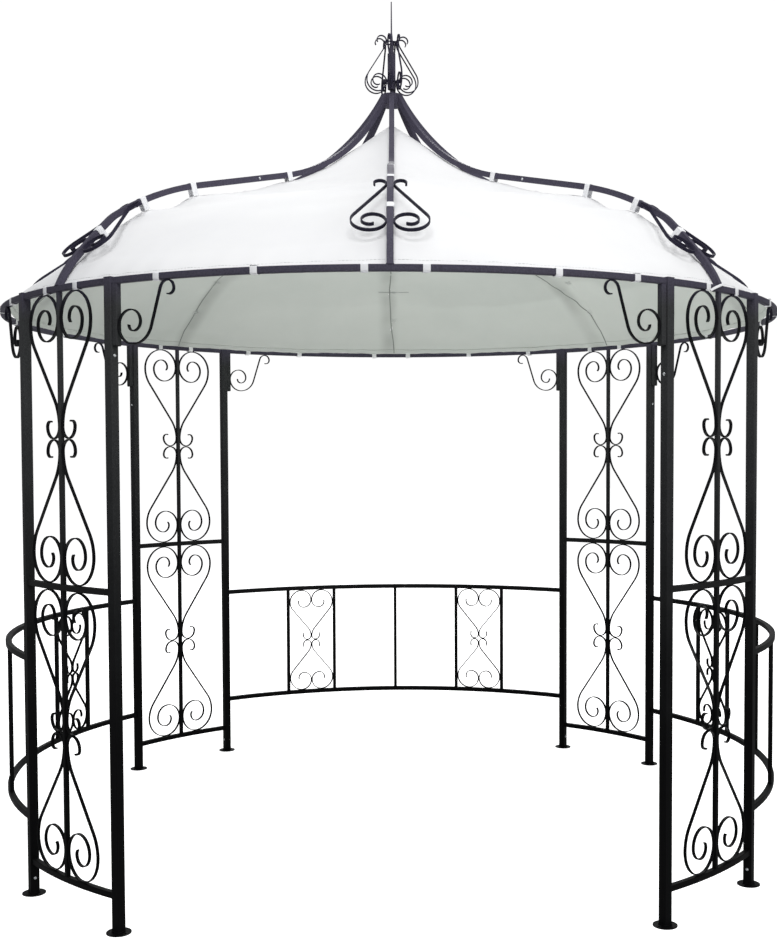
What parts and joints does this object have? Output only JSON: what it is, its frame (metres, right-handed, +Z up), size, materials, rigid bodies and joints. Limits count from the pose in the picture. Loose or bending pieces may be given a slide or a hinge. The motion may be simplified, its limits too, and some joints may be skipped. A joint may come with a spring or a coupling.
{
  "type": "round metal garden gazebo",
  "caption": "Round open garden gazebo: square-tube posts and scroll-work panels carry a ring, curved roof ribs, a fabric canopy and a finial; balustrades close all but the open front.",
  "frame": {"origin": "on the floor at the centre of the round plan, under the finial", "axes": "+Z up, the open entrance faces -Y, +X to the right seen from the entrance"},
  "size_m": [2.9968, 2.9968, 3.2922],
  "materials": {
    "frame_steel": "black satin powder coat on square steel tube",
    "scroll_steel": "black satin powder coat on bent flat bar",
    "canopy_fabric": "white woven polyester, matt",
    "strap_webbing": "white woven webbing"
  },
  "bodies": {
    "root": {"post_front_left": "frame_steel", "post_front_right": "frame_steel", "post_right_front": "frame_steel", "post_right_back": "frame_steel", "post_back_right": "frame_steel", "post_back_left": "frame_steel", "post_left_back": "frame_steel", "post_left_front": "frame_steel", "panel_front_left": "frame_steel", "panel_front_right": "frame_steel", "panel_back_right": "frame_steel", "panel_back_left": "frame_steel", "panel_scrolls_front_left": "scroll_steel", "panel_scrolls_front_right": "scroll_steel", "panel_scrolls_back_right": "scroll_steel", "panel_scrolls_back_left": "scroll_steel", "arch_front": "frame_steel", "arch_right": "frame_steel", "arch_back": "frame_steel", "arch_left": "frame_steel", "corner_scrolls_front": "scroll_steel", "corner_scrolls_right": "scroll_steel", "corner_scrolls_back": "scroll_steel", "corner_scrolls_left": "scroll_steel", "balustrade_right": "frame_steel", "balustrade_back": "frame_steel", "balustrade_left": "frame_steel", "balustrade_scrolls_right": "scroll_steel", "balustrade_scrolls_back": "scroll_steel", "balustrade_scrolls_left": "scroll_steel", "rib_front": "frame_steel", "rib_front_right": "frame_steel", "rib_right": "frame_steel", "rib_back_right": "frame_steel", "rib_back": "frame_steel", "rib_back_left": "frame_steel", "rib_left": "frame_steel", "rib_front_left": "frame_steel", "rib_hearts": "scroll_steel", "crown": "frame_steel", "finial_stem": "frame_steel", "finial_hearts": "scroll_steel", "canopy": "canopy_fabric", "canopy_straps": "strap_webbing"}
  },
  "joints": []
}
